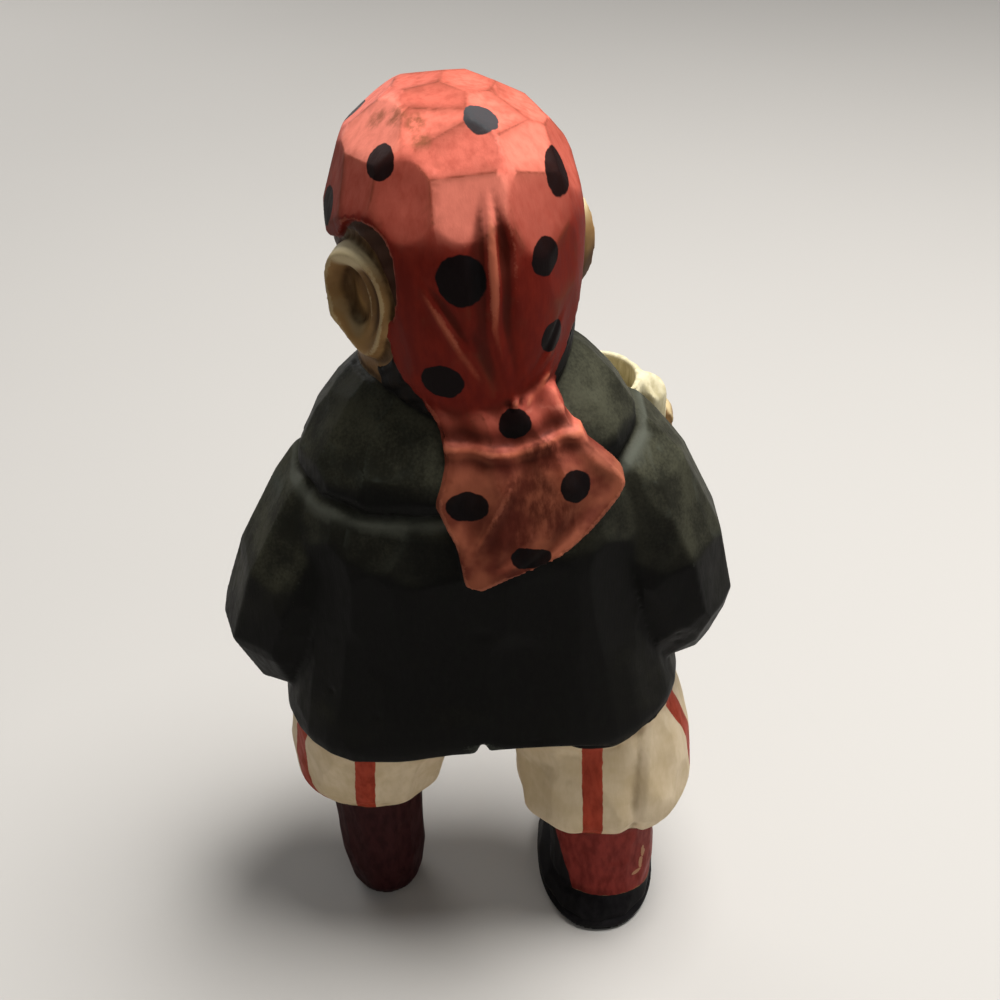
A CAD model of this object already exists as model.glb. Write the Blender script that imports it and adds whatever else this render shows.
"""Looks of a carved and painted wooden figure of a pirate with a peg leg.

Millimetres until the mesh is finished, then metres. +Z is up, the figure faces -Y and its own left is +X.
"""

import math

import bpy
import numpy as np
from mathutils import Matrix, Vector
from mathutils.bvhtree import BVHTree


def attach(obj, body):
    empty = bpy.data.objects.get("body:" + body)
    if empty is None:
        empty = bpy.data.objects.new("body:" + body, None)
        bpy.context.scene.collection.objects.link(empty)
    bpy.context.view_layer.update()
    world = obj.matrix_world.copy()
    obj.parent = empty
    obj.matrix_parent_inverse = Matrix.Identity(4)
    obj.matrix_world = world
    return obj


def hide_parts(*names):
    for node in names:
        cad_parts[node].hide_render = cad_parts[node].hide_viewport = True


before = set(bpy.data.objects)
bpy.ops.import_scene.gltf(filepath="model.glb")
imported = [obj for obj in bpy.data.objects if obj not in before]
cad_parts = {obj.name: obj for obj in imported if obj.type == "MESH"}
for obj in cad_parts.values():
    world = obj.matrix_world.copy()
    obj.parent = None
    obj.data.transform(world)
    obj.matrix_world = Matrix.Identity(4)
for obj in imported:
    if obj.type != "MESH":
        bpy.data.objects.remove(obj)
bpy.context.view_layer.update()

MM = 0.001
VOXEL = 0.38
MOST_TRIANGLES = 196000
chance = np.random.default_rng(7)

# Driving dimensions, the same as the solid's

HEAD_TURN = 22
HEAD_TOP = 150.5
CHIN_Z = 105.5
EYE_Z = 126
EYE_X = 6.2
EAR_HALF_WIDTH = 6.6
EAR_HALF_HEIGHT = 8.6
EAR_THICK = 4.6
EARS = [
    {"side": 1, "out": 14.5, "back": 4.4, "z": 123.6, "facing": 22},
    {"side": -1, "out": 14.1, "back": 2.8, "z": 125.6, "facing": -6},
]

HEM_Z = 47.5
HEM_RISE = 1.5
HEM_DIPS = [(22, 13, 4), (-19, 10, 3.4)]
HEM_TOP = 62
COAT_SQUARE = 1.3
COLLAR_LEAN = 0.09
COLLAR_DROOP = 0.014
COLLAR_DROOP_RIGHT = 0.016
COLLAR_DROOP_Y = 4

PEG = {"x": 20.1, "y": 0.6, "top": 8.4, "foot": 5.4}
SHOE = {"x": -19.2, "y": 0, "half_width": 10.8, "half_length": 17.5, "height": 6.4}
CALF = {"x": -20.1, "y": 5.3, "radius": 9.4}

MUG = {"x": -19.6, "y": -16.2, "foot": 80.5, "rim": 96.4, "radius": 9.2, "wall": 1.7, "hollow": 5}
MUG_ROOM = {"around": 0.7, "sink": 0.5, "above": 14}
FINGER = 1.9

# Level rings, from the bottom up: z, x, y, half width, half depth

HEAD_ROWS = [
    (96, 0, 1, 11, 11),
    (103, 0, 0.5, 12, 14),
    (CHIN_Z, 0, -0.5, 12.6, 17.6),
    (110, 0, -0.8, 14.4, 18.8),
    (116, 0, -0.3, 15.3, 19.3),
    (123, 0, 0, 15.6, 19.8),
    (131, 0, 0, 15.8, 19.9),
    (139, 0, 0, 15, 18),
    (146, 0, 0, 10.5, 13),
]
KERCHIEF_ROWS = [
    (104.5, 0, 3.5, 11.5, 13.5),
    (109, 0, 2, 13.6, 15.9),
    (115, 0, 0.8, 16, 18.4),
    (121, 0, 0.2, 17, 19.9),
    (128, 0, 0, 17.6, 20.7),
    (135, 0, 0, 17.3, 20.3),
    (141.6, 0, 0, 15.2, 18),
    (146.6, 0, 0, 11.4, 13.6),
    (149.6, 0, 0, 6.2, 7.6),
    (HEAD_TOP, 0, 0, 2.4, 3),
]
COAT_ROWS = [
    (HEM_Z + 3, 0, 0.3, 24, 12),
    (HEM_Z + 0.3, 0, 0.3, 30.2, 18.2),
    (HEM_Z, 0, 0.3, 31.3, 19.3),
    (HEM_Z + 0.4, 0, 0.3, 32.3, 20.3),
    (HEM_Z + 1.5, 0, 0.3, 32.8, 20.8),
    (52, 0, 0.4, 32.8, 21),
    (64, 0, 0.4, 30, 20.6),
    (76, 0, 0.6, 28.4, 20.8),
    (86, 0, 0.8, 27.6, 21),
    (94, 0, 0.6, 25, 18.8),
    (101, 0, 0.5, 20, 15.5),
    (106, 0, 0.5, 14, 11),
]
COLLAR_ROWS = [
    (94.2, 0, 0.5, 22, 17),
    (95.2, 0, 0.4, 25.2, 20.2),
    (97.4, 0, 0.4, 25.9, 20.9),
    (100.4, 0, 0.2, 25.5, 20.5),
    (105.4, 0, 0, 22.4, 17.8),
    (109.6, 0, -0.2, 18.8, 15.2),
    (111.6, 0, -0.2, 16.6, 13.4),
]
LEFT_BREECHES = [
    (24.6, 20, 0.6, 8.6, 7),
    (27.4, 20.2, 0.5, 12, 9.6),
    (33, 20, 0.4, 13.4, 11.6),
    (42, 18.4, 0.3, 15, 14),
    (54, 15, 0.3, 15.5, 16),
]
RIGHT_BREECHES = [
    (22.8, -19.8, 5.4, 10.8, 9.4),
    (26.4, -20, 5.2, 14.6, 12.8),
    (33, -20.4, 4, 15.4, 14),
    (42, -19, 2.4, 15.8, 15),
    (54, -15, 0.8, 16, 17),
]
PEG_ROWS = [
    (z, PEG["x"], PEG["y"], radius, radius)
    for z, radius in ((0, PEG["foot"]), (2, PEG["foot"] + 1.2), (9, PEG["top"] - 0.7), (28, PEG["top"]))
]
CALF_ROWS = [
    (z, CALF["x"], CALF["y"], CALF["radius"] + wider, CALF["radius"] + wider)
    for z, wider in ((3, -0.6), (8, 0), (28, 0.6))
]
SHOE_ROWS = [
    (z, SHOE["x"] + x, SHOE["y"] + y, SHOE["half_width"] - narrow, SHOE["half_length"] - short)
    for z, x, y, narrow, short in (
        (0, 0, 0, 0.8, 0.8), (1.6, 0, 0, 0, 0), (4, 0, -0.3, 0.2, 0.8),
        (SHOE["height"], 0, -1, 0.9, 2.2), (SHOE["height"] + 3, -0.4, -4.5, 2.8, 7),
    )
]

# Rings along a bent line: x, y, z, half width, half depth

UPPER_SLEEVES = [
    [
        (15, 0, 93, 11, 12), (21, 0.5, 85.5, 10.8, 13), (26.8, 1.5, 75, 11, 13.5),
        (30.2, 1, 64.5, 11.6, 12.4), (29.4, 0.4, 55.6, 8.6, 8.6),
    ],
    [
        (-16, 0, 96, 11, 12), (-23.5, 0.8, 87.5, 11.5, 13), (-28, 2, 77, 11.8, 13.5),
        (-30.6, 1.5, 66.5, 11.2, 12), (-29.8, 0.8, 58, 8.4, 8.6),
    ],
]
LOWER_SLEEVES = [
    [
        (30, 3, 62.4, 9.4, 9.6), (28.5, -7, 60, 9.8, 9.8),
        (24, -14.4, 61, 8.4, 8.2), (18.5, -18.8, 63.5, 7, 7.4),
    ],
    [
        (-30.8, 3, 64, 9.4, 9.2), (-30.8, -6.5, 64, 9.2, 9.2),
        (-30.2, -13, 70, 7.8, 7.6), (-29.8, -16.6, 78, 6.8, 6.8),
    ],
]
CUFFS = [
    [
        (23.6, -14.9, 61.2, 8.6, 8.5), (23.2, -15.3, 61.4, 9.1, 9),
        (19.4, -18.2, 63.1, 8, 8.2), (19, -18.5, 63.3, 7.4, 7.6),
    ],
    [
        (-30.2, -13.4, 71, 7.8, 7.6), (-30.2, -13.7, 71.6, 8.3, 8.1),
        (-29.9, -16, 76.8, 7.6, 7.5), (-29.8, -16.3, 77.4, 7.1, 7),
    ],
]
LAPEL = [
    (1.4, -20.9, 77.5, 0.8, 0.8), (7.4, -20.6, 86.5, 4.6, 1.7),
    (11.4, -19.2, 94.5, 5.6, 2.2), (12.4, -14.6, 103, 5, 3),
]
NOSE = [
    (0, -17.6, EYE_Z + 1.5, 1.3, 2.2),
    (0, -20.6, EYE_Z - 5, 2, 2),
    (0, -21.6, EYE_Z - 8.6, 2.6, 2.2),
    (0, -19, EYE_Z - 10.4, 2.2, 1.6),
]
LEFT_PALM = [(21, -18.6, 62.5, 5.6, 4.6), (14, -21.4, 65.6, 5.6, 4.2), (10.6, -21.4, 66.8, 4.6, 3)]
LEFT_THUMB = [(16, -21.8, 69.6, 2.2, 2.2), (12.4, -21.8, 73.4, 1.9, 1.9), (11.6, -21.8, 74.2, 1.1, 1.1)]
RIGHT_FIST = [(-29.8, -17, 77, 5.2, 4.8), (-30, -17.2, 83, 4.4, 5), (-30, -17.2, 87, 3, 4)]

# The kerchief's lower edge on each side of the head, as distance back and height
LEFT_EDGE = [
    (-12, 133.4), (-7, 131.2), (-3, 130.6), (0, 131.6), (2.5, 134), (5, 135.6), (8.5, 136),
    (11.2, 134.9), (12.6, 132.6), (13, 129.5), (12.7, 126.5), (11.4, 122.5), (10.3, 119.5),
    (10.3, 115.5), (12.4, 111.8), (14.6, 108.4), (16, 104), (16.2, 100),
]
RIGHT_EDGE = [
    (-12, 134.4), (-2, 134.6), (4, 135.6), (8, 134.6), (10.5, 131), (12, 126.5), (13, 122),
    (14.6, 118), (16.2, 114.6), (16.6, 110), (16.4, 105), (16.2, 100),
]

# The kerchief's loose corner: height, y, left edge, right edge, slope of its right half towards the neck
TAIL_ROWS = [
    (83.9, 25.2, 0.8, -0.4, 0),
    (87, 24.8, 1.2, -6.8, 0),
    (89.3, 24.3, 1.6, -12.6, 0),
    (91.7, 23.8, 2.1, -16, 0),
    (94.1, 23.2, 3.2, -18.8, 0),
    (97, 22.6, 4.2, -21.4, 0),
    (99.2, 22, 3.6, -22, 0),
    (103, 20.6, 2.6, -18.8, 0),
    (107, 19, 3.2, -15.2, 0.05),
    (111, 17.6, 5.1, -13.1, 0.18),
    (114, 17, 6, -12, 0.42),
    (117, 16.2, 6.6, -11, 0.55),
]
TAIL_THICK = 3.4
TAIL_MIDDLE = -6
TAIL_BOW = 0.011
TAIL_FOLD = 0.5
TAIL_FOLDS = 3


# Forms: each is its points and its faces

def ring(at, across, along, sides, square=1.0, twist=0.5):
    """A ring of points about a centre, from +across towards +along. A square above 1 fills its corners."""
    angles = (np.arange(sides) + twist) / sides * 2 * np.pi
    power = 1 / square
    c = np.sign(np.cos(angles)) * np.abs(np.cos(angles)) ** power
    s = np.sign(np.sin(angles)) * np.abs(np.sin(angles)) ** power
    return np.asarray(at) + np.outer(c, across) + np.outer(s, along)


def flowing(rows, steps):
    """The rows with more between them, on a smooth curve through them all."""
    rows = np.array(rows, float)
    padded = np.vstack([2 * rows[0] - rows[1], rows, 2 * rows[-1] - rows[-2]])
    made = []
    for a, b, c, d in zip(padded, padded[1:], padded[2:], padded[3:]):
        for t in np.arange(steps) / steps:
            bend = (2 * a - 5 * b + 4 * c - d) * t**2 + (3 * b - a - 3 * c + d) * t**3
            made.append(b + 0.5 * ((c - a) * t + bend))
    made.append(rows[-1])
    return np.array(made)


def loft(rings):
    """A closed form through rings of one number of points, with its two ends capped."""
    rings = np.array(rings)
    count, sides, _ = rings.shape
    faces = [tuple(reversed(range(sides))), tuple((count - 1) * sides + j for j in range(sides))]
    for i in range(count - 1):
        for j in range(sides):
            k = (j + 1) % sides
            low, high = i * sides, (i + 1) * sides
            faces.append((low + j, low + k, high + k, high + j))
    return rings.reshape(-1, 3), faces


def upright(rows, sides, square=1.0, lean=0.0, steps=1, twist=0.5):
    """A form built up from level rings. Lean makes them rise towards -X."""
    rings = []
    for z, x, y, wide, deep in flowing(rows, steps):
        rings.append(ring((x, y, z), (wide, 0, -lean * wide), (0, deep, 0), sides, square, twist))
    return loft(rings)


def limb(rows, sides, deep_axis=(0, 1, 0), square=1.0, steps=1, twist=0.5):
    """A form that follows a bent line, with its rings square to it.

    Its depth is measured nearest the axis given.
    """
    rows = flowing(rows, steps)
    centres = rows[:, :3]
    rings = []
    for i, (wide, deep) in enumerate(rows[:, 3:]):
        heading = centres[min(i + 1, len(rows) - 1)] - centres[max(i - 1, 0)]
        heading /= np.linalg.norm(heading)
        along = np.array(deep_axis, float)
        along -= along.dot(heading) * heading
        along /= np.linalg.norm(along)
        across = np.cross(along, heading)
        rings.append(ring(centres[i], across * wide, along * deep, sides, square, twist))
    return loft(rings)


def lump(at, size, facets=28):
    """A rounded lump."""
    rings = []
    for rise in np.linspace(-0.5, 0.5, facets // 2 + 1)[1:-1] * np.pi:
        spread = math.cos(rise)
        centre = (at[0], at[1], at[2] + size[2] * math.sin(rise))
        rings.append(ring(centre, (size[0] * spread, 0, 0), (0, size[1] * spread, 0), facets))
    return loft(rings)


def prism(corners, near_y, far_y):
    """A flat outline in x and z, as thick as the stretch of y given."""
    rings = [[(x, y, z) for x, z in corners] for y in (near_y, far_y)]
    return loft(rings)


def mirrored(form):
    points, faces = form
    return points * (-1, 1, 1), [face[::-1] for face in faces]


def spun(points, degrees):
    """The points turned about the upright axis."""
    c, s = math.cos(math.radians(degrees)), math.sin(math.radians(degrees))
    x, y, z = points.T
    return np.column_stack([x * c - y * s, x * s + y * c, z])


def in_head(form):
    return spun(form[0], HEAD_TURN), form[1]


def merged(forms):
    """Several forms as one list of points and faces."""
    points, faces, start = [], [], 0
    for these, rows in forms:
        points.append(these)
        faces += [tuple(i + start for i in row) for row in rows]
        start += len(these)
    return np.vstack(points), faces


def bump(value, middle, width):
    """1 at the middle, falling away softly over the width."""
    return np.exp(-(((value - middle) / width) ** 2))


def step(low, high, value):
    """0 below low and 1 above high, with a soft rise between them."""
    t = np.clip((value - low) / (high - low), 0, 1)
    return t * t * (3 - 2 * t)


# Meshes from forms

def object_from(name, form):
    mesh = bpy.data.meshes.new(name)
    mesh.from_pydata(form[0].tolist(), [], form[1])
    mesh.update()
    piece = bpy.data.objects.new(name, mesh)
    bpy.context.scene.collection.objects.link(piece)
    return piece


def worked(piece, kind, **settings):
    """The piece with a modifier of that kind applied to it."""
    modifier = piece.modifiers.new(kind, kind)
    for name, value in settings.items():
        setattr(modifier, name, value)
    graph = bpy.context.evaluated_depsgraph_get()
    mesh = bpy.data.meshes.new_from_object(piece.evaluated_get(graph))
    piece.modifiers.clear()
    old = piece.data
    piece.data = mesh
    bpy.data.meshes.remove(old)
    return piece


def points_of(mesh, layer="co"):
    values = np.zeros(len(mesh.vertices) * 3)
    if layer == "normal":
        mesh.vertex_normals.foreach_get("vector", values)
    else:
        mesh.vertices.foreach_get("co", values)
    return values.reshape(-1, 3)


def set_points(mesh, points):
    mesh.vertices.foreach_set("co", points.ravel())
    mesh.update()


def without(form, cutter):
    """What is left of the form once the cutter is taken out of it."""
    left = object_from("form", form)
    taken = object_from("cutter", cutter)
    worked(left, "BOOLEAN", object=taken, operation="DIFFERENCE", solver="EXACT")
    form = points_of(left.data), [tuple(face.vertices) for face in left.data.polygons]
    for helper in (left, taken):
        bpy.data.objects.remove(helper)
    return form


# Head

def face_relief(x, z):
    """How far the face stands proud of the plain skull, in millimetres."""
    aside = np.abs(x)
    arch = EYE_Z + 4.6 - 0.02 * (aside - 5) ** 2
    brow = 1.7 * bump(z, arch, 1.7) * step(11.5, 8, aside) * step(0, 2.5, aside + 0.6)
    socket = -2.3 * bump(aside, EYE_X, 3.9) * bump(z, EYE_Z, 2.9)
    bridge = -0.6 * bump(aside, 0, 2.2) * bump(z, EYE_Z + 1.5, 2)
    cheek = 1.1 * bump(aside, 8.2, 3.8) * bump(z, EYE_Z - 7.8, 3.6)
    muzzle = 0.9 * bump(aside, 0, 4.6) * bump(z, EYE_Z - 13.6, 3)
    chin = 1.2 * bump(aside, 0, 4.4) * bump(z, CHIN_Z + 3.2, 2.2)
    under_lip = -0.7 * bump(aside, 0, 3.4) * bump(z, EYE_Z - 16.6, 0.9)
    upper_lip = 0.9 * bump(z, EYE_Z - 13.1 - 0.03 * aside**2, 0.75) * step(5, 3, aside)
    lower_lip = 1.0 * bump(z, EYE_Z - 15.1 + 0.04 * aside**2, 0.85) * step(4.4, 2.4, aside)
    return brow + socket + bridge + cheek + muzzle + chin + under_lip + upper_lip + lower_lip


def skull():
    points, faces = upright(HEAD_ROWS, 144, steps=14)
    front = step(-6, -13, points[:, 1])
    points[:, 1] -= front * face_relief(points[:, 0], points[:, 2])
    return points, faces


def lids(side):
    """Upper and lower lids lie on the eyeball from its inner to its outer corner."""
    made = []
    for lift, thick in ((2.0, 0.75), (-1.6, 0.6)):
        rows = []
        for t in np.linspace(-1, 1, 15):
            x = 3.5 * t
            z = lift * (1 - abs(t) ** 2.2) - 0.25 * t
            y = -15.1 - math.sqrt(3.75**2 - min(x * x + z * z, 13.5))
            rows.append((side * (EYE_X + x), y, EYE_Z + z, thick * (1.05 - 0.55 * t * t), thick))
        made.append(limb(rows, 10, deep_axis=(0, 0.2, 1)))
    return made


def ear(side, out, back, z, facing):
    """An egg-shaped slab with a rolled rim, a groove inside it, a fold and a deep bowl."""
    half = EAR_THICK / 2
    around = np.linspace(0, 2 * np.pi, 96, endpoint=False)
    rim_stretch = step(-1.05, -0.35, np.sin(around))

    def outline(size, offset):
        across = size * EAR_HALF_WIDTH * np.cos(around) * (1 + 0.26 * np.sin(around))
        up = size * EAR_HALF_HEIGHT * np.sin(around)
        return np.column_stack([across, -np.broadcast_to(offset, around.shape), up])

    rings = [outline(0.86, -2 * half), outline(0.95, -0.6 * half), outline(1.0, 0.25 * half)]
    for size in np.linspace(0.995, 0.03, 26):
        flat = outline(size, 0)
        across, up = flat[:, 0], flat[:, 2]
        rim = 0.7 * bump(size, 0.85, 0.13) * rim_stretch
        dish = -1.0 * step(0.78, 0.5, size)
        bowl_reach = np.hypot((across + 1.5) / 2.9, (up - 0.6) / 4.0)
        bowl = -1.9 * step(1.2, 0.6, bowl_reach)
        fold_reach = np.hypot((across + 1.5) / 3.9, (up - 0.2) / 5.4)
        fold = 0.6 * bump(fold_reach, 1, 0.16) * step(-2.5, 0.5, across)
        tragus = 0.9 * bump(across, -0.62 * EAR_HALF_WIDTH, 1.2) * bump(up, -1.8, 1.7)
        edge = -1.4 * step(0.86, 1.0, size)
        rings.append(outline(size, half + rim + dish + bowl + fold + tragus + edge))
    points, faces = loft(rings)
    points = spun(points, 90 + facing) + (out, back, z)
    return in_head((points, faces) if side > 0 else mirrored((points, faces)))


def kerchief():
    """The cloth over the skull, cut away along its lower edge."""
    cloth = in_head(upright(KERCHIEF_ROWS, 96, steps=8))
    for edge, near, far in ((LEFT_EDGE, -30, 0.5), (RIGHT_EDGE, -0.5, 30)):
        outline = [(-40, 100), (-40, 137.5)] + [tuple(row) for row in flowing(edge, 3)]
        points, faces = prism(outline, near, far)
        sideways = np.column_stack([-points[:, 1], points[:, 0], points[:, 2]])
        cloth = without(cloth, (spun(sideways, HEAD_TURN), faces))
    return cloth


def tail():
    across = np.linspace(0, 1, 41)
    rings = []
    for z, y, left, right, slope in flowing(TAIL_ROWS, 4):
        x = left + (right - left) * across
        back = y - TAIL_BOW * (x - TAIL_MIDDLE) ** 2 - slope * np.maximum(0, TAIL_MIDDLE - x)
        spread = min(1, (left - right) / 20)
        fold = TAIL_FOLD * spread * np.cos(2 * np.pi * TAIL_FOLDS * across)
        outer = np.column_stack([x, back + fold, np.full(len(x), z)])
        inner = np.column_stack([x, back - TAIL_THICK, np.full(len(x), z)])[::-1]
        rings.append(np.vstack([outer, inner])[::-1])
    return loft(rings)


# Coat, legs, hands and mug

def dipped(form):
    """The coat's hem rises at the slit and hangs lower over each leg."""
    points, faces = form
    lift = HEM_RISE - sum(drop * bump(points[:, 0], x, width) for x, width, drop in HEM_DIPS)
    points[:, 2] += lift * step(HEM_TOP, HEM_Z, points[:, 2])
    return points, faces


def drooping(form):
    """The collar falls away towards the front, most on the figure's right."""
    points, faces = form
    rate = COLLAR_DROOP + COLLAR_DROOP_RIGHT * step(-4, -16, points[:, 0])
    points[:, 2] -= rate * np.maximum(0, COLLAR_DROOP_Y - points[:, 1]) ** 2
    return points, faces


def collar():
    """The broad turned-down collar, open at the front."""
    ringed = drooping(upright(COLLAR_ROWS, 16, square=1.1, lean=COLLAR_LEAN))
    return without(ringed, prism([(-9, 116), (-5, 86), (5, 86), (9, 116)], -40, -12))


def left_hand():
    made = [limb(LEFT_PALM, 20, steps=4), limb(LEFT_THUMB, 14, steps=3)]
    for i in range(4):
        z = 70.4 - 2.9 * i
        rows = [
            (13.5 - 0.3 * i, -23.4, z, FINGER, FINGER),
            (8.6 - 0.6 * i, -22.8, z - 0.6, FINGER, FINGER),
            (5.8 - 0.4 * i, -20.2, z - 1, FINGER - 0.4, FINGER - 0.4),
            (5.6 - 0.4 * i, -19.2, z - 1, FINGER - 1, FINGER - 1),
        ]
        made.append(limb(rows, 14, deep_axis=(0, 0, 1), steps=4))
    return made


def right_hand():
    made = [limb(RIGHT_FIST, 20, steps=4)]
    for i in range(4):
        z = 87 - 2.7 * i
        rows = [
            (-32, -16, z, FINGER, FINGER),
            (-32, -20.8, z, FINGER, FINGER),
            (-28.4, -22.8, z, FINGER - 0.3, FINGER - 0.3),
            (-27, -22.8, z, FINGER - 1, FINGER - 1),
        ]
        made.append(limb(rows, 14, deep_axis=(0, 0, 1), steps=4))
    return made


def mug():
    x, y, foot, rim, radius = MUG["x"], MUG["y"], MUG["foot"], MUG["rim"], MUG["radius"]
    inside = radius - MUG["wall"]
    inner_floor = rim - MUG["hollow"]
    profile = [
        (0.3, foot), (radius - 0.9, foot), (radius - 0.4, foot + 1.4),
        (radius - 0.5, rim - 3), (radius, rim - 0.8), (radius - 0.6, rim),
        (inside + 0.3, rim), (inside, inner_floor), (0.3, inner_floor),
    ]
    cup = loft([ring((x, y, z), (r, 0, 0), (0, r, 0), 56) for r, z in profile])
    handle = [
        (x - radius + 1, y, rim - 2.6, 2.4, 2.4),
        (x - radius - 0.9, y, rim - 3.4, 2.6, 2.6),
        (x - radius - 1.2, y, rim - 6, 2.6, 2.4),
        (x - radius - 0.8, y, rim - 13, 2, 2),
    ]
    return [cup, limb(handle, 16, steps=4)]


def mug_room():
    """What the mug takes out of the coat: its hollow, and the room above its rim."""
    x, y, rim, radius = MUG["x"], MUG["y"], MUG["rim"], MUG["radius"]
    bore = radius - MUG["wall"] / 2
    around = radius + MUG_ROOM["around"]
    floor_z = rim - MUG["hollow"] - MUG_ROOM["sink"]
    ledge, top = rim - MUG_ROOM["sink"], rim + MUG_ROOM["above"]
    profile = [(0.3, floor_z), (bore, floor_z), (bore, ledge), (around, ledge), (around, top), (0.3, top)]
    return loft([ring((x, y, z), (r, 0, 0), (0, r, 0), 56) for r, z in profile])


def skin_forms():
    made = [in_head(skull()), in_head(limb(NOSE, 24, deep_axis=(0, 1, 0.3), steps=4))]
    for side in (-1, 1):
        made.append(in_head(lump((side * 2.5, -19.3, EYE_Z - 9.2), (1.4, 1.7, 1.3))))
        made += [in_head(lid) for lid in lids(side)]
    made += [ear(**place) for place in EARS]
    return made + left_hand() + right_hand()


def eye_forms():
    return [in_head(lump((side * EYE_X, -15.1, EYE_Z), (3.5, 3.6, 3.3))) for side in (-1, 1)]


def sleeve_forms():
    made = [limb(rows, 9) for rows in UPPER_SLEEVES]
    made += [limb(rows, 9, deep_axis=(0, 0, 1)) for rows in LOWER_SLEEVES]
    made += [limb(rows, 9, deep_axis=(0, 0, 1)) for rows in CUFFS]
    return made


def collar_forms():
    """The broad collar and the two lapels that its ends turn into."""
    left_lapel = limb(LAPEL, 24, steps=3)
    return [collar(), left_lapel, mirrored(left_lapel)]


ZONES = {
    "kerchief": [kerchief(), tail()],
    "skin": skin_forms(),
    "eye": eye_forms(),
    "body": [without(dipped(upright(COAT_ROWS, 36, COAT_SQUARE, steps=3)), mug_room())],
    "sleeve": [without(form, mug_room()) for form in sleeve_forms()],
    "collar": [without(form, mug_room()) for form in collar_forms()],
    "button": [lump((-2.5, -20.2, z), (2.0, 1.6, 2.0)) for z in (56, 64, 72)],
    "breeches": [upright(LEFT_BREECHES, 36, 1.1, steps=4), upright(RIGHT_BREECHES, 36, 1.1, steps=4)],
    "stocking": [upright(CALF_ROWS, 36)],
    "peg": [upright(PEG_ROWS, 36)],
    "shoe": [upright(SHOE_ROWS, 56, 1.12, steps=3)],
    "mug": mug(),
}

# One carved mesh

figure = object_from("carved_figure", merged([form for forms in ZONES.values() for form in forms]))
worked(figure, "REMESH", mode="VOXEL", voxel_size=VOXEL, adaptivity=0.0)
worked(figure, "SMOOTH", factor=0.5, iterations=4)
mesh = figure.data

ends = np.zeros(len(mesh.edges) * 2, np.int64)
mesh.edges.foreach_get("vertices", ends)
edge_from, edge_to = ends.reshape(-1, 2).T
count = len(mesh.vertices)
neighbours = np.maximum(np.bincount(edge_from, minlength=count) + np.bincount(edge_to, minlength=count), 1)


def blurred(values, rounds=1, share=1.0):
    """The values, each drawn towards the mean of its neighbours on the mesh."""
    if values.ndim > 1:
        return np.column_stack([blurred(column, rounds, share) for column in values.T])
    for _ in range(rounds):
        total = np.bincount(edge_from, values[edge_to], count)
        total = total + np.bincount(edge_to, values[edge_from], count)
        values = values + share * (total / neighbours - values)
    return values


# How near each point is to each painted zone's own forms

points = points_of(mesh)
FAR = 4.0
distance = {}
for zone, forms in ZONES.items():
    whole = merged(forms)
    low, high = whole[0].min(0) - 1.5, whole[0].max(0) + 1.5
    near = np.nonzero(((points > low) & (points < high)).all(1))[0]
    tree = BVHTree.FromPolygons(whole[0].tolist(), whole[1])
    found = np.full(count, FAR)
    for i in near:
        hit = tree.find_nearest(points[i], FAR)
        if hit[3] is not None:
            found[i] = hit[3]
    distance[zone] = found

names = list(ZONES)
table = np.column_stack([distance[name] for name in names])
nearest = np.argmin(table, 1)
field = {}
for k, name in enumerate(names):
    others = np.delete(table, k, 1).min(1)
    field[name] = np.clip(others - table[:, k], -2, 2)


def within(*zones):
    return np.isin(nearest, [names.index(zone) for zone in zones])


# Knife work

best = np.full(count, -1.0)
second = np.full(count, -1.0)
plane = np.zeros((count, 3))
tone = np.zeros(count)


def cut_flats(members, spacing, depth, tilt, hollow, first=(), middles=True):
    """Shallow flats that a knife leaves, each about its own centre. Hollow is how dished each one is."""
    normals = points_of(mesh, "normal")
    inside = np.nonzero(members)[0]
    open_to = np.broadcast_to(middles, count)[inside].copy()
    centres = []
    for at in first:
        index = inside[np.argmin(((points[inside] - at) ** 2).sum(1))]
        centres.append(index)
        open_to &= ((points[inside] - points[index]) ** 2).sum(1) > (0.8 * spacing) ** 2
    for pick in chance.permutation(len(inside)):
        if open_to[pick]:
            index = inside[pick]
            centres.append(index)
            gap = spacing * chance.uniform(0.72, 1.05)
            open_to &= ((points[inside] - points[index]) ** 2).sum(1) > gap**2
    for index in centres:
        reach = ((points[inside] - points[index]) ** 2).sum(1) < (1.45 * spacing) ** 2
        near = inside[reach]
        core = near[((points[near] - points[index]) ** 2).sum(1) < (0.45 * spacing) ** 2]
        normal = normals[core].sum(0) + len(core) * chance.normal(0, tilt, 3)
        normal /= np.linalg.norm(normal)
        near = near[normals[near] @ normal > 0.4]
        offset = points[near] - points[index]
        height = offset @ normal
        aside = (offset**2).sum(1) - height**2
        about = (aside > (0.5 * spacing) ** 2) & (aside < (0.9 * spacing) ** 2)
        if about.any() and np.percentile(height[about], 85) > 0.5 * depth:
            continue
        cut = height + depth * chance.uniform(0.8, 1.2) - hollow * aside
        cut *= step(1.45, 1.0, np.sqrt(np.maximum(aside, 0)) / spacing)
        better = cut > best[near]
        second[near] = np.where(better, best[near], np.maximum(second[near], cut))
        plane[near[better]] = normal
        tone[near[better]] = chance.uniform(-1, 1)
        best[near[better]] = cut[better]


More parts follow.
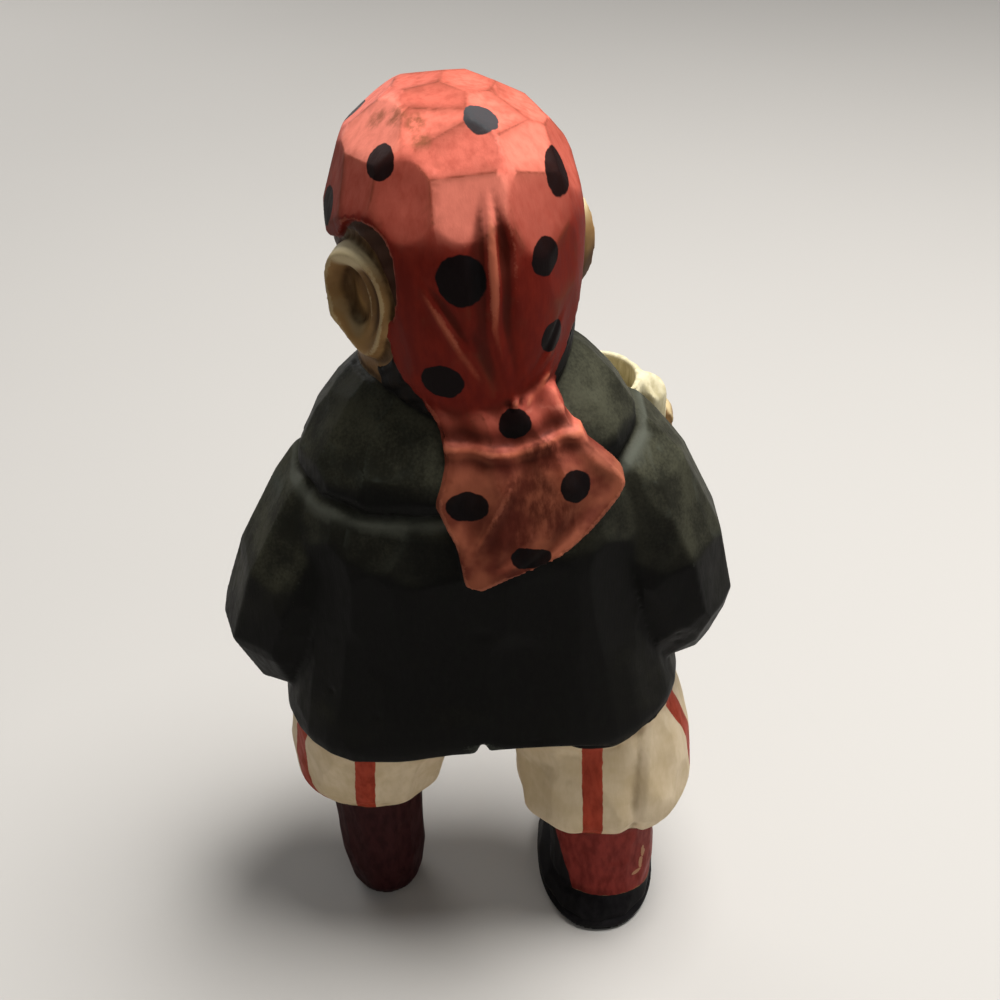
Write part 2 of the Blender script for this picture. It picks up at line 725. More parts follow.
# Middles of the flats that show on the crown
CROWN_FLATS = [
    (1.0, 5.2, 149.9), (1.3, 10.7, 147.7), (-0.7, 14.2, 144.8), (-2.1, 17.5, 140.9),
    (6.2, 15.8, 139.6), (-10.4, 10.8, 143.8), (-11.1, 15.2, 138.2), (-9.5, 3.1, 147.7),
    (9.7, 7.0, 145.4), (12.9, 8.9, 140.2), (-6.5, 7.5, 148.2), (-15.3, 5.6, 140.6),
]
height = points[:, 2]
on_head = within("kerchief") & (height > 112)
on_corner = within("kerchief") & (height < 110)
cut_flats(on_head, 8.6, 0.72, 0.02, 0.0, CROWN_FLATS, middles=height > 137)
cut_flats(on_head, 8.6, 0.34, 0.02, 0.002, middles=height < 134)
cut_flats(on_corner, 6.0, 0.16, 0.03, 0.006)
# Flats on the other parts: how far apart and how deep in mm, how much they tilt and how dished they are
FLATS = {
    "body": (11.5, 0.34, 0.025, 0.003),
    "sleeve": (10, 0.14, 0.015, 0.004),
    "collar": (8.5, 0.2, 0.015, 0.004),
    "breeches": (7.2, 0.36, 0.03, 0.004),
    "stocking": (5.6, 0.3, 0.02, 0.003),
    "peg": (5.4, 0.3, 0.02, 0.003),
    "shoe": (6.0, 0.3, 0.03, 0.004),
    "mug": (4.4, 0.1, 0.01, 0.006),
}
SOLE = 1.8
for zone, flats in FLATS.items():
    members = within(zone)
    if zone == "shoe":
        members &= height > SOLE
    cut_flats(members, *flats)
face_points = spun(points, -HEAD_TURN)
face_front = (face_points[:, 1] < -9) & (points[:, 2] > CHIN_Z) & (points[:, 2] < 135)
depth = np.clip(best, 0, 1.6)
depth[within("button", "eye")] = 0
flat_bottom = points[:, 2] < 0.6
depth[flat_bottom] = 0
own = np.sort(table, 1)
own = own[:, 1] - own[:, 0]
cuts = blurred(plane * (depth * step(0, 0.7, own))[:, None], 1, 0.5)
points = points - cuts
arris = np.where(best > 0, np.exp(-np.clip(best - second, 0, 9) / 0.16), 0)

# Folds gathered from the crown to the knot at the nape
# Angles are from the middle back, towards the figure's left

turned = spun(points, -HEAD_TURN)
angle = np.degrees(np.arctan2(turned[:, 0], turned[:, 1]))
girth = np.hypot(turned[:, 0], turned[:, 1])
height = points[:, 2]
# Each fold: its heights, with the angle, width and strength at each, then its relief across itself in mm
FOLDS = [
    {
        "z": (109.5, 112, 116.6, 122.8, 134, 141.6), "degrees": (0, 1, 4, 8, 8, 7),
        "width": (0.6, 0.7, 0.85, 1, 1, 0.4), "strength": (0, 0.7, 1, 1, 0.9, 0),
        "across": (-4.2, -3.0, -1.7, -0.5, 0.3, 1.4, 3.4), "relief": (0, 0.2, -1.2, 0.55, 0.55, -0.9, 0),
    },
    {
        "z": (109.5, 112.6, 117, 121.8, 127.6, 131), "degrees": (3, 10, 16.5, 23, 32, 37),
        "width": (0.6, 0.8, 1, 1, 0.8, 0.5), "strength": (0, 0.7, 1.1, 1, 0.6, 0),
        "across": (-3.2, -1.2, -0.2, 0.3, 1.6), "relief": (0, -0.75, 0.4, 0.4, 0),
    },
    {
        "z": (109.5, 111.6, 116, 120.8, 125), "degrees": (2, 8, 13, 17, 21),
        "width": (0.6, 0.8, 1, 1, 0.6), "strength": (0, 0.7, 1.1, 0.8, 0),
        "across": (-2.2, -1.0, -0.2, 0.3, 1.4), "relief": (0, -0.7, 0.4, 0.4, 0),
    },
    {
        "z": (109.5, 110.8, 112.7, 118, 123), "degrees": (0, 0, -6, -19, -27),
        "width": (0.6, 0.8, 1, 1, 0.6), "strength": (0, 0.7, 1.2, 0.9, 0),
        "across": (-2.0, -0.3, 0.2, 1.1, 2.6), "relief": (0, 0.5, 0.5, -0.8, 0),
    },
    {
        "z": (109.5, 110.7, 113.3, 117), "degrees": (-2, -5, -14, -25),
        "width": (0.6, 0.8, 1, 0.7), "strength": (0, 0.7, 1.1, 0),
        "across": (-2.2, -0.3, 0.2, 1.1, 2.2), "relief": (0, 0.5, 0.5, -0.7, 0),
    },
]
on_back = within("kerchief") & (turned[:, 1] > 2) & (height > 109)
creased = np.zeros(count)
normals = points_of(mesh, "normal")
for fold in FOLDS:
    middle = np.interp(height, fold["z"], fold["degrees"])
    width = np.interp(height, fold["z"], fold["width"])
    strength = np.interp(height, fold["z"], fold["strength"])
    aside = np.radians(angle - middle) * girth / np.maximum(width, 0.1)
    creased += np.where(on_back, strength * np.interp(aside, fold["across"], fold["relief"], 0, 0), 0)
inner = step(0.1, 1.1, field["kerchief"])
points = points + normals * blurred(creased * inner, 1, 0.5)[:, None]

# The loose corner's crease below the knot, and the fold that runs down from it
on_tail = within("kerchief") & (points[:, 1] > 12) & (height < 109)
crease_z = np.interp(points[:, 0], (-14, -6.9, 3), (106, 104.2, 105.2))
below = crease_z - height
crease = np.interp(below, (-3.6, -1.4, 0, 1.6, 4.5), (0, -0.55, 0.4, -0.35, 0), 0, 0)
slant = points[:, 0] + 6.5 - 0.55 * (101 - height)
fold_across = np.interp(slant, (-5, -1.6, 0, 1.2, 4), (0, -0.9, 0.8, -0.6, 0), 0, 0)
fold_down = 0.35 * fold_across * step(104, 99, height)
tail_relief = np.where(on_tail, crease + fold_down * step(86, 92, height), 0)
points = points + normals * blurred(tail_relief * inner, 1)[:, None]
creased = blurred((creased + tail_relief) * inner, 1)

# Breeches pleated above the knee, and the lines of the coat, shoe and face


def leg_angle(rows):
    """Degrees about the leg, from the figure's left towards its back, and the way out from its middle."""
    middle_x = np.interp(height, [row[0] for row in rows], [row[1] for row in rows])
    middle_y = np.interp(height, [row[0] for row in rows], [row[2] for row in rows])
    dx, dy = points[:, 0] - middle_x, points[:, 1] - middle_y
    return np.degrees(np.arctan2(dy, dx)), np.hypot(dx, dy)


move = np.zeros(count)
stripe = np.full(count, -2.0)
STRIPES = (
    # legs' rows, x of the stripes at the knee and the hip, y of the outer one
    (LEFT_BREECHES, 0.3, (21.4, 19.4), (6.0, 9.8)),
    (RIGHT_BREECHES, 1.4, (-17.6, -17.6), (6.5, 9.5)),
)
for rows, phase, stripe_x, stripe_y in STRIPES:
    turn, out = leg_angle(rows)
    outer_side = np.sign(rows[0][1])
    mine = np.sign(points[:, 0]) == outer_side
    swell = np.sin(np.radians(turn) * 7 + phase + 0.8 * np.sin(height * 0.4))
    swell = swell * np.sin(np.radians(turn) * 3 + phase * 3)
    move += np.where(mine & within("breeches"), 0.3 * swell * step(46, 28, height), 0)
    middle_x = np.interp(height, (27, 47), stripe_x)
    middle_y = np.interp(height, (34, 50), stripe_y)
    long_ways = 1.7 - np.abs(points[:, 0] - middle_x)
    outward = np.where(points[:, 0] * outer_side > 24, 1.5 - np.abs(points[:, 1] - middle_y), -2)
    stripe = np.where(mine, np.clip(np.maximum(long_ways, outward), -2, 2), stripe)
crease_x = points[:, 0] + 25.8 + 0.05 * (height - 33)
crease_relief = np.interp(crease_x, (-4, -0.8, 0.6, 3), (0, 0.35, -0.55, 0), 0, 0)
move += np.where(within("breeches") & (points[:, 1] > 6), crease_relief, 0)
front_edge = within("body") & (points[:, 1] < -10) & (height < 79)
move += np.where(front_edge, np.interp(points[:, 0], (0.6, 1.2, 1.3, 3.5), (0, 0.3, -0.55, 0), 0, 0), 0)
notch = within("body") & (points[:, 1] > 10) & (height < HEM_Z + 6)
notch_width = np.maximum(0, 1.25 * (1 - (height - HEM_Z - HEM_RISE) / 2.6))
move -= np.where(notch, 2.2 * step(1, 0.3, np.abs(points[:, 0]) / np.maximum(notch_width, 0.05)), 0)
under_collar = within("body", "sleeve") & (points[:, 1] > -12)
groove = blurred(np.where(under_collar, bump(distance["collar"], 0, 0.8), 0), 1)
move -= 0.8 * groove
ridge = blurred(np.where(under_collar, bump(distance["collar"], 1.7, 0.8), 0), 1)
sole = within("shoe")
move -= np.where(sole, 0.45 * bump(height, 2.3, 0.35), 0)
face_points = spun(points, -HEAD_TURN)
aside = np.abs(face_points[:, 0])
facing = within("skin") & (face_points[:, 1] < -12)
mouth_z = EYE_Z - 14.1 + 0.02 * aside**2
move -= np.where(facing, 0.75 * bump(height, mouth_z, 0.4) * step(5.2, 4.2, aside), 0)
move -= np.where(facing, 0.6 * bump(aside, 1.25, 0.6) * bump(height, EYE_Z - 10.6, 0.6), 0)
move -= np.where(facing, 0.3 * bump(aside, 0, 0.7) * bump(height, EYE_Z - 12, 0.9), 0)

# Hair below the kerchief's edge, behind the ears and down to the collar, and in front of them
behind = face_points[:, 1] > 5
reach_down = np.where(face_points[:, 0] > 0, 3.3, 4.2)
hair = np.where(behind, reach_down * step(126, 117, height) + 1.2 - distance["kerchief"], -2)
over_ear = (face_points[:, 1] > -3) & (height > 124)
hair = np.maximum(hair, np.where(over_ear, 4.2 - distance["kerchief"], -2))
temple = 3.2 - np.abs(face_points[:, 1] + 5.5) - 0.15 * np.maximum(0, 128 - height)
hair = np.maximum(hair, np.where(height > 115, np.minimum(temple, 134 - height + 3), -2))
from_axis = np.hypot(face_points[:, 0], face_points[:, 1])
head_skin = (height > 104) & (from_axis < 21.5) & (face_points[:, 1] > -12)
ear_near = np.zeros(count)
for place in EARS:
    middle = np.array([place["side"] * (place["out"] + 1.6), place["back"], place["z"]])
    gap = np.linalg.norm((face_points - middle) / (1, EAR_HALF_WIDTH / 6, EAR_HALF_HEIGHT / 6), axis=1)
    ear_near = np.maximum(ear_near, step(7.4, 6.4, gap))
hair = np.where(head_skin, np.clip(np.minimum(hair, 1.2 - 4 * ear_near), -2, 2), -2)
locks = np.sin(height * 1.9 + angle * 0.35) * 0.16
move += np.where(within("skin") & (hair > 0), step(0, 0.7, hair) * (0.45 + locks), 0)

points = points + normals * np.where(flat_bottom, 0, blurred(move, 1, 0.5))[:, None]

# Paint on the face
from_mouth = np.abs(height - mouth_z - 0.1)
lips = np.where(facing, np.minimum(4.3 - aside, 1.75 - 0.06 * aside**2 - from_mouth), -2)
brow_z = EYE_Z + 5.2 - 0.05 * (aside - 5) ** 2
eyebrow = np.where(facing, np.minimum(4.6 - np.abs(aside - 6.6), 0.8 - np.abs(height - brow_z)), -2)
cheeks = bump(aside, 8.8, 3.2) * bump(height, EYE_Z - 7.8, 3)
nose_tip = 0.8 * bump(aside, 0, 2.4) * bump(height, EYE_Z - 8.4, 2)
blush = np.where(facing, cheeks, 0) + np.where(facing, nose_tip, 0)

# Small dents and chips of an old hand-carved piece
for _ in range(70):
    spot = points[chance.integers(count)]
    size = chance.uniform(0.5, 1.3)
    gap = ((points - spot) ** 2).sum(1)
    near = (gap < (2.5 * size) ** 2) & ~flat_bottom & ~face_front
    points[near] -= normals[near] * (0.16 * np.exp(-gap[near] / size**2))[:, None]

soft = points + (blurred(points, 2, 0.6) - points) * (0.16 + 0.84 * step(0.9, 0.2, own))[:, None]
soft[flat_bottom, 2] = points[flat_bottom, 2]
points = soft
points[:, 2] = np.maximum(points[:, 2], 0)
points[points[:, 2] < 0.35, 2] = 0

# Where the surface stands out or lies in
set_points(mesh, points)
normals = points_of(mesh, "normal")
lie = ((blurred(points, 3) - points) * normals).sum(1)
worn = np.where(face_front, 0, np.clip(-blurred(lie, 1) * 7, 0, 1))
broad = ((blurred(points, 14) - points) * normals).sum(1)
sunk = np.clip(blurred(broad, 3) * 3.2, 0, 1)


def keep(name, values):
    """A value at each point that the paint reads."""
    mesh.attributes.new(name, "FLOAT", "POINT").data.foreach_set("value", np.asarray(values, np.float32))


over = np.minimum(distance["sleeve"], distance["collar"])
shirt_edge = 0.42 * (height - 79) - np.abs(points[:, 0] + 0.3)
front_of_body = within("body", "collar") & (points[:, 1] < -6)
shirt = np.minimum(np.where(front_of_body, shirt_edge, -2), np.clip(over - distance["body"], -2, 2))
eye_reach = 2 * (1 - np.hypot((aside - EYE_X) / 2.9, (height - EYE_Z) / 2.1))
field["eye"] = np.minimum(field["eye"], eye_reach)
inner_edge = np.clip(points[:, 0] + 14.4 - 0.22 * (height - 6), -2, 2)
inner_side = within("stocking") & (points[:, 0] > -17)
field["shoe"] = np.where(inner_side, np.maximum(field["shoe"], inner_edge), field["shoe"])
for zone in ("kerchief", "eye", "button", "breeches", "stocking", "peg", "shoe", "mug"):
    keep(zone, field[zone])
coat_columns = [names.index(zone) for zone in ("body", "sleeve", "collar")]
keep("coat", np.clip(np.delete(table, coat_columns, 1).min(1) - table[:, coat_columns].min(1), -2, 2))
keep("shirt", np.clip(shirt, -2, 2))
keep("stripe", stripe)
keep("hair", hair)
keep("arris", arris)
keep("tone", blurred(tone, 1, 0.5))
keep("ridge", ridge)
keep("crease", creased)
keep("blush", blush)
keep("lips", lips)
keep("eyebrow", eyebrow)
keep("worn", worn)
keep("sunk", sunk)
keep("upward", blurred(normals[:, 2], 6))

worked(figure, "TRIANGULATE")
share = MOST_TRIANGLES / len(figure.data.polygons)
if share < 1:
    worked(figure, "DECIMATE", ratio=share)
mesh = figure.data
mesh.transform(Matrix.Scale(MM, 4))
mesh.polygons.foreach_set("use_smooth", np.ones(len(mesh.polygons), bool))


# Paint

def linear(code):
    """An sRGB hex colour as linear values."""
    parts = [int(code[i : i + 2], 16) / 255 for i in (1, 3, 5)]
    return [p / 12.92 if p <= 0.04045 else ((p + 0.055) / 1.055) ** 2.4 for p in parts] + [1]


def add(tree, kind, inputs=None, **settings):
    """A node with its settings, and its inputs as values or as the sockets they are linked to."""
    made = tree.nodes.new(kind)
    for name, value in settings.items():
        setattr(made, name, value)
    for name, value in (inputs or {}).items():
        if isinstance(value, bpy.types.NodeSocket):
            tree.links.new(value, made.inputs[name])
        else:
            made.inputs[name].default_value = value
    return made


# Painted spots on the kerchief: middle and half sizes in x, y and z
SPOTS = [
    ((-4.4, 10, 147.9), (2.3, 2.6, 2.6)),
    ((8.4, 11.3, 143.2), (2.4, 2.8, 2.4)),
    ((-13.8, 10.1, 140.8), (1.9, 3.6, 3.6)),
    ((-0.9, 19.9, 130.4), (3.3, 3.5, 3.7)),
    ((-11.6, 16.1, 131.6), (2.4, 2.6, 2.6)),
    ((2.4, 17.9, 115.1), (3.0, 3.0, 2.8)),
    ((-7.0, 18.6, 108.2), (2.3, 2.4, 2.3)),
    ((-12.4, 14.6, 119.5), (2.0, 2.4, 2.4)),
    ((0.0, 21.9, 97.2), (3.1, 3.0, 2.2)),
    ((-15.1, 21.1, 99.3), (2.3, 2.6, 2.4)),
    ((-8.5, 24.3, 89.6), (3.0, 3.0, 1.6)),
    ((16.6, 2.6, 134.4), (2.4, 2.6, 2.8)),
    ((12.9, -6.6, 143.8), (2.4, 2.6, 2.4)),
    ((-16.5, -2.0, 138.0), (2.6, 2.8, 2.8)),
    ((-8.5, -9.4, 145.0), (2.5, 2.6, 2.5)),
    ((3.0, -15.4, 143.0), (2.8, 2.8, 2.8)),
    ((-8.6, -14.6, 140.6), (2.6, 2.8, 2.8)),
    ((13.8, -14.4, 137.0), (2.6, 2.8, 2.6)),
]


def in_head_at(x, y, z):
    return tuple(spun(np.array([[x, y, z]]), HEAD_TURN)[0])


IRIS = 1.45
PUPIL = 0.75
EYE_MIDDLES = [in_head_at(side * EYE_X, -18.4, EYE_Z) for side in (-1, 1)]
IRISES = [(middle, (IRIS,) * 3) for middle in EYE_MIDDLES]
PUPILS = [(middle, (PUPIL,) * 3) for middle in EYE_MIDDLES]
FACE_LIGHT = [(in_head_at(0, -18, 119), (15, 11, 17))]
EAR_LIGHTS = [
    (in_head_at(17.4, 4.6, 130.6), (3.2, 6.6, 2.2)),
    (in_head_at(-16.6, 3.0, 132.8), (3.2, 6.6, 2.2)),
]
EAR_SHADE = [(in_head_at(-17.8, 5.0, 123.2), (3.4, 4.6, 5.6))]
STOCKING_CHIPS = [
    ((-27.0, 11.0, 14.4), (0.35, 2.0, 1.5)),
    ((-26.6, 11.6, 11.8), (0.4, 2.0, 1.6)),
    ((-25.8, 12.4, 9.9), (0.9, 2.0, 0.5)),
]
# Brown stains on the kerchief: crown and loose corner
CROWN_STAINS = [
    ((9.6, 4.9, 146.9), (2.6, 1.8, 1.6)),
    ((6.5, 7.3, 147.7), (2.2, 2.2, 1.4)),
    ((3.9, 9.5, 147.6), (1.6, 2.2, 1.4)),
    ((3.3, 12.4, 146.3), (1.6, 1.6, 1.4)),
]
TAIL_STAINS = [
    ((-8.5, 22, 98.5), (4.4, 4, 4.6)),
    ((-12.0, 21, 95), (4, 4, 4)),
    ((-6, 23, 94), (4, 4, 4)),
    ((-11, 20, 104), (3, 4, 2.6)),
]

# Marks in the paint and the wood: size in mm, detail and stretch
# The grain of real limewood is too fine to show, so it is drawn several times as coarse
MARKS = {
    "brush": (1.1, 4, (1, 1, 0.35)),
    "speck": (0.45, 2, (1, 1, 1)),
    "thin patch": (7, 3, (1, 1, 1)),
    "grain": (0.3, 3, (1, 1, 0.12)),
    "waver": (1.6, 2, (1, 1, 1)),
}
MARK_ROUGHNESS = 0.55
# How far a painted edge and a dab waver, how soft an edge is and how deep the grain lies, all in mm
EDGE_WAVER = 0.25
EDGE_SOFT = 0.06
DAB_WAVER = 0.7
GRAIN_DEPTH = 0.12
WAX_IOR = 1.46
WAX_GLOSS = 0.06
WAX_ROUGHNESS = (0.46, 0.62)


def painted_limewood():
    """Limewood carved with a knife, painted in thin hobby paint, toned with brown wash and waxed.

    It gives matt colours with brush marks, dark hollows, bare light arrises and a soft low shine.
    """
    material = bpy.data.materials.new("painted_limewood")
    material.use_nodes = True
    tree = material.node_tree
    tree.nodes.clear()

    def thickness(*parts):
        """How thickly a coat lies: its parts multiplied together.

        A part is a number, a mask, or a reading with the two values that it runs between. After them come
        the thickness at each, where these are other than 0 and 1.
        """
        product = None
        for part in parts:
            if isinstance(part, tuple):
                inputs = dict(enumerate(part))
                part = add(tree, "ShaderNodeMapRange", inputs, interpolation_type="SMOOTHSTEP").outputs[0]
            if product is None:
                product = part
            else:
                product = add(tree, "ShaderNodeMath", {0: product, 1: part}, operation="MULTIPLY").outputs[0]
        return product

    def summed(*weighed):
        """Readings added up, each by its weight."""
        total = 0.0
        for reading, weight in weighed:
            inputs = {0: reading, 1: weight, 2: total}
            total = add(tree, "ShaderNodeMath", inputs, operation="MULTIPLY_ADD").outputs[0]
        return total

    def coats(base, *over):
        """Paint built up in coats. Each coat is its colour and the parts of its thickness."""
        colour = linear(base) if isinstance(base, str) else base
        for paint, *parts in over:
            upper = linear(paint) if isinstance(paint, str) else paint
            inputs = {0: thickness(*parts), 6: colour, 7: upper}
            colour = add(tree, "ShaderNodeMix", inputs, data_type="RGBA").outputs[2]
        return colour

    where = add(tree, "ShaderNodeTexCoord").outputs["Object"]
    height = add(tree, "ShaderNodeSeparateXYZ", {0: where}).outputs["Z"]
    arris, worn, sunk, upward, tone, crease, ridge, blush = (
        add(tree, "ShaderNodeAttribute", attribute_name=name).outputs["Fac"]
        for name in ("arris", "worn", "sunk", "upward", "tone", "crease", "ridge", "blush")
    )
    marks = {}
    for name, (size, detail, stretch) in MARKS.items():
        scale = [s / (size * MM) for s in stretch]
        scaled = add(tree, "ShaderNodeMapping", {0: where, 3: scale}).outputs[0]
        inputs = {"Vector": scaled, "Scale": 1.0, "Detail": detail, "Roughness": MARK_ROUGHNESS}
        marks[name] = add(tree, "ShaderNodeTexNoise", inputs).outputs
    brush, speck, patch, grain, waver = (marks[name]["Fac"] for name in MARKS)

    def area(name):
        """1 inside a painted area and 0 outside, with a hand-painted edge."""
        inside = add(tree, "ShaderNodeAttribute", attribute_name=name).outputs["Fac"]
        line = EDGE_WAVER / 2
        return thickness((summed((inside, 1), (waver, EDGE_WAVER)), line - EDGE_SOFT, line + EDGE_SOFT))

    far = DAB_WAVER * MM
    inputs = {0: marks["waver"]["Color"], 1: (far,) * 3, 2: (-far / 2,) * 3}
    wavering = add(tree, "ShaderNodeVectorMath", inputs, operation="MULTIPLY_ADD").outputs[0]
    painted_at = add(tree, "ShaderNodeVectorMath", {0: where, 1: wavering}, operation="ADD").outputs[0]

    def dabs(places, at, outer=1.03, inner=0.95):
        """Round dabs of paint with a soft edge: 1 inside and 0 outside."""
        nearest_dab = None
        for middle, half in places:
            grow = [1 / (h * MM) for h in half]
            back = [-m * MM * g for m, g in zip(middle, grow)]
            inputs = {0: at, 1: grow, 2: back}
            offset = add(tree, "ShaderNodeVectorMath", inputs, operation="MULTIPLY_ADD").outputs[0]
            reach = add(tree, "ShaderNodeVectorMath", {0: offset}, operation="LENGTH").outputs["Value"]
            if nearest_dab is not None:
                inputs = {0: nearest_dab, 1: reach}
                reach = add(tree, "ShaderNodeMath", inputs, operation="MINIMUM").outputs[0]
            nearest_dab = reach
        return thickness((nearest_dab, outer, inner))

    wash = thickness((sunk, 0.05, 0.55), (brush, 0.2, 0.75, 0.6, 1.0))
    chip = thickness((summed((worn, 1), (speck, 0.5)), 0.62, 0.86))

    # Kerchief: coral red, lighter on the crown, browner on the loose corner
    lightness = summed((upward, 0.9), (patch, 0.3))
    on_top = (upward, 0.1, 0.5)
    mottled = (brush, 0.3, 0.65, 0.2, 1.0)
    brown = coats("#52241a", ("#874c36", (patch, 0.35, 0.6)))
    spot_black = coats(
        "#040708",
        ("#0c1214", (brush, 0.4, 0.8, 0.0, 0.5)),
        ("#434d50", (upward, 0.6, 1.0, 0.0, 0.7)),
    )
    red = coats(
        "#66190f",
        ("#e17561", (lightness, 0.18, 0.8)),
        ("#8d2c1e", (brush, 0.35, 0.75, 0.0, 0.35)),
        ("#7a2a1c", on_top, (tone, -1.0, 0.2, 0.36, 0.0)),
        ("#f2937c", on_top, (tone, 0.2, 1.0, 0.0, 0.4)),
        (brown, (height, 0.112, 0.100), 0.9),
        ("#66301f", arris, (patch, 0.3, 0.55, 0.35, 0.85)),
        ("#3a120b", (crease, -0.05, -0.4, 0.0, 0.65)),
        ("#c26a4c", (crease, 0.1, 0.35, 0.0, 0.5)),
        ("#4f1d13", wash, 0.6),
        ("#e08a6c", chip, 0.16),
        ("#6d4428", dabs(CROWN_STAINS, painted_at, 1.2, 0.4), mottled, 0.7),
        ("#40170e", dabs(TAIL_STAINS, painted_at, 1.3, 0.5), mottled, 0.85),
        (spot_black, dabs(SPOTS, painted_at), 0.97),
    )

    # Coat: black with green-grey where the paint is thin
    mottle = summed((patch, 1), (speck, 0.4))
    coat = coats(
        "#090807",
        ("#11120f", (brush, 0.35, 0.8, 0.0, 0.8)),
        ("#484739", (upward, 0.02, 0.6), (mottle, 0.5, 0.95, 0.25, 0.9)),
        ("#484d45", arris, (upward, 0.12, 0.5, 0.0, 0.5)),
        ("#4b4f46", chip, (speck, 0.2, 0.8, 0.1, 0.45)),
        ("#5b5d53", ridge, (patch, 0.25, 0.6, 0.35, 0.85)),
    )

    # Bare-looking skin: cream paint rubbed with brown
    hair = coats("#0e0c0b", ("#1d1713", (brush, 0.4, 0.7)), ("#3d251a", (height, 0.119, 0.125)))
    skin = coats(
        "#745636",
        ("#967449", (patch, 0.35, 0.7)),
        ("#cdbb90", (upward, 0.2, 0.8), 0.75),
        ("#d2c49e", dabs(EAR_LIGHTS, where, 1.2, 0.6), 0.6),
        ("#4a3020", dabs(EAR_SHADE, where, 1.2, 0.8), 0.8),
        ("#c39c70", dabs(FACE_LIGHT, where, 1.2, 0.7), 0.5),
        ("#3d2a19", wash, 0.9),
        ("#d0bf94", chip, 0.35),
        ("#b8684c", blush, 0.45),
        ("#93493a", area("lips"), 0.75),
        ("#33241a", area("eyebrow"), 0.9),
        (hair, area("hair")),
    )
    eye = coats("#dcd2b8", ("#4a2f1c", dabs(IRISES, where)), ("#0d0b0a", dabs(PUPILS, where)))

    # Linen, legs and mug
    linen = coats(
        "#d6c3a5",
        ("#c6b18e", (patch, 0.3, 0.7)),
        ("#b5a07c", (brush, 0.35, 0.75, 0.0, 0.3)),
        ("#7a6547", wash, 0.65),
        ("#8d7a5c", arris, 0.15),
    )
    stripe_red = coats("#a4402c", ("#84301f", (brush, 0.3, 0.8)))
    stocking = coats(
        "#86322a",
        ("#67231e", (brush, 0.3, 0.75)),
        ("#b06a52", chip, 0.3),
        ("#a87c5c", dabs(STOCKING_CHIPS, painted_at)),
        ("#35130f", wash, 0.6),
    )
    figure_paint = coats(
        skin,
        (coat, area("coat")),
        (linen, area("shirt")),
        (red, area("kerchief")),
        (coats(linen, (stripe_red, area("stripe"))), area("breeches")),
        (stocking, area("stocking")),
        (coats("#3a1b1b", ("#2a1213", (brush, 0.3, 0.75))), area("peg")),
        (coats("#100f10", ("#1d1b1c", (brush, 0.3, 0.8))), area("shoe")),
        (coats("#d8ceac", ("#b9ad88", (brush, 0.3, 0.75)), ("#6e6345", wash, 0.7)), area("mug")),
        (eye, area("eye")),
        ("#b08d4e", area("button")),
    )

    raised = summed((grain, 0.6), (brush, 0.5))
    inputs = {"Height": raised, "Distance": GRAIN_DEPTH * MM, "Strength": 0.35}
    relief = add(tree, "ShaderNodeBump", inputs)
    surface = add(tree, "ShaderNodeBsdfPrincipled", {
        "Base Color": figure_paint, "Roughness": thickness((brush, 0.3, 0.8, *WAX_ROUGHNESS)),
        "Normal": relief.outputs[0], "IOR": WAX_IOR, "Specular IOR Level": WAX_GLOSS,
    })
    add(tree, "ShaderNodeOutputMaterial", {"Surface": surface.outputs[0]})
    return material


figure.name = "painted_figure"
mesh.materials.clear()
mesh.materials.append(painted_limewood())
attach(figure, "root")
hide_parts("pirate_figurine")


# Floor, light and camera

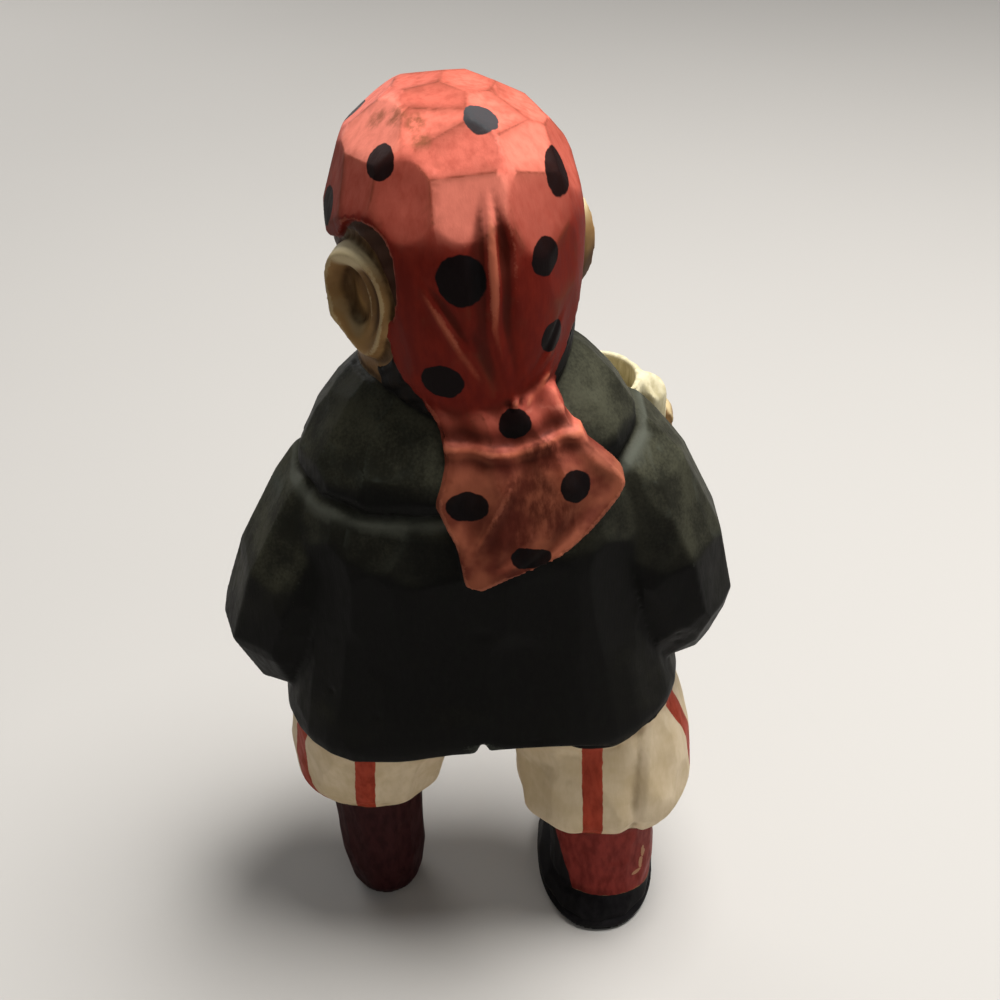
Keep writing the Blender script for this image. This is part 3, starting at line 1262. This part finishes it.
def matt_paper():
    """Matt paper for the floor: pale, hardly mottled and without shine."""
    material = bpy.data.materials.new("matt_paper")
    material.use_nodes = True
    tree = material.node_tree
    surface = tree.nodes["Principled BSDF"]
    where = add(tree, "ShaderNodeTexCoord").outputs["Object"]
    cloud = add(tree, "ShaderNodeTexNoise", {"Vector": where, "Scale": 6.0, "Detail": 2.0}).outputs["Fac"]
    pale = linear("#bcb8b2")
    dark = [c * 0.96 for c in pale[:3]] + [1]
    shade = add(tree, "ShaderNodeMix", {0: cloud, 6: pale, 7: dark}, data_type="RGBA")
    tree.links.new(shade.outputs[2], surface.inputs["Base Color"])
    surface.inputs["Roughness"].default_value = 0.8
    return material


corners = np.array([(-3, -3, 0), (3, -3, 0), (3, 3, 0), (-3, 3, 0)], float)
floor = object_from("floor", (corners, [(0, 1, 2, 3)]))
floor.data.materials.append(matt_paper())


def lamp(name, at, towards, size, watts):
    light = bpy.data.lights.new(name, "AREA")
    light.shape = "DISK"
    light.size = size
    light.energy = watts
    lit = bpy.data.objects.new(name, light)
    bpy.context.scene.collection.objects.link(lit)
    lit.location = at
    lit.rotation_euler = (Vector(towards) - Vector(at)).to_track_quat("-Z", "Y").to_euler()
    return lit


middle = (0, 0, 0.08)
lamp("top_softbox", (-0.2, -0.03, 0.72), middle, 0.4, 8.5)
lamp("back_fill", (-0.5, 0.7, 0.45), middle, 0.6, 0.6)
lamp("front_fill", (0.4, -0.7, 0.4), middle, 0.6, 1.8)

world = bpy.data.worlds.new("studio")
world.use_nodes = True
world.node_tree.nodes["Background"].inputs[0].default_value = linear("#e6e6e8")
world.node_tree.nodes["Background"].inputs[1].default_value = 0.18
bpy.context.scene.world = world

CAMERA_AT = Vector((-4.514, 179.388, 204.390)) * MM
PITCH = math.radians(34)
ROLL = math.radians(-2.7)
forward = Vector((0, -math.cos(PITCH), -math.sin(PITCH)))
level_right = Vector((-1, 0, 0))
level_up = Vector((0, -math.sin(PITCH), math.cos(PITCH)))
right = level_right * math.cos(ROLL) + level_up * math.sin(ROLL)
up = -level_right * math.sin(ROLL) + level_up * math.cos(ROLL)
lens = bpy.data.cameras.new("photo_view")
lens.sensor_width = 36
lens.angle = math.radians(40)
lens.clip_start = 0.01
camera = bpy.data.objects.new("photo_view", lens)
bpy.context.scene.collection.objects.link(camera)
turn = Matrix((right, up, -forward)).transposed().to_4x4()
camera.matrix_world = Matrix.Translation(CAMERA_AT) @ turn
bpy.context.scene.camera = camera
bpy.context.scene.view_settings.view_transform = "Standard"
